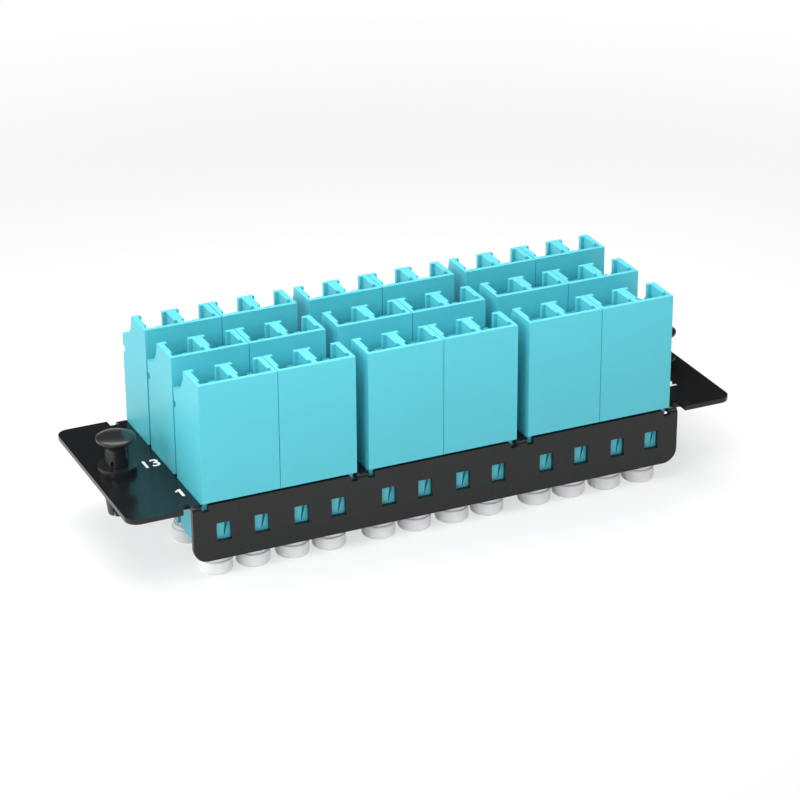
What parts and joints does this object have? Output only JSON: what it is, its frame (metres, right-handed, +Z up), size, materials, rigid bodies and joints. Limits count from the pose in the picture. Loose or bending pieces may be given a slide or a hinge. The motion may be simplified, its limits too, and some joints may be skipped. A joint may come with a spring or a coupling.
{
  "type": "fibre adapter panel",
  "caption": "Black sheet metal panel with folded flanges and end tabs, holding rows of aqua duplex fibre adapters, white dust caps and two push-pull latch plungers.",
  "frame": {"origin": "under the plate's centre, on the surface that the dust caps stand on", "axes": "+X along the panel, +Y from the flange with the windows to the plain flange, +Z up, the way the patch plugs leave"},
  "size_m": [0.1046, 0.0348, 0.0332],
  "materials": {
    "black_powder_coat": "satin",
    "aqua_plastic": "satin",
    "white_plastic": "satin",
    "black_nylon": "satin"
  },
  "bodies": {
    "panel": {"panel_plate": "black_powder_coat", "front_row_adapter_1": "aqua_plastic", "front_row_adapter_2": "aqua_plastic", "front_row_adapter_3": "aqua_plastic", "front_row_adapter_4": "aqua_plastic", "front_row_adapter_5": "aqua_plastic", "front_row_adapter_6": "aqua_plastic", "middle_row_adapter_1": "aqua_plastic", "middle_row_adapter_2": "aqua_plastic", "middle_row_adapter_3": "aqua_plastic", "middle_row_adapter_4": "aqua_plastic", "middle_row_adapter_5": "aqua_plastic", "middle_row_adapter_6": "aqua_plastic", "rear_row_adapter_1": "aqua_plastic", "rear_row_adapter_2": "aqua_plastic", "rear_row_adapter_3": "aqua_plastic", "rear_row_adapter_4": "aqua_plastic", "rear_row_adapter_5": "aqua_plastic", "rear_row_adapter_6": "aqua_plastic", "front_row_dust_caps": "white_plastic", "middle_row_dust_caps": "white_plastic", "rear_row_dust_caps": "white_plastic", "left_grommet": "black_nylon", "right_grommet": "black_nylon"},
    "left_latch": {"left_plunger": "black_nylon"},
    "right_latch": {"right_plunger": "black_nylon"}
  },
  "joints": [
    {"name": "left_plunger_slide", "type": "slide", "parent": "panel", "child": "left_latch", "axis": [0, 0, 1], "range_m": [0, 0.0035]},
    {"name": "right_plunger_slide", "type": "slide", "parent": "panel", "child": "right_latch", "axis": [0, 0, 1], "range_m": [0, 0.0035]}
  ]
}
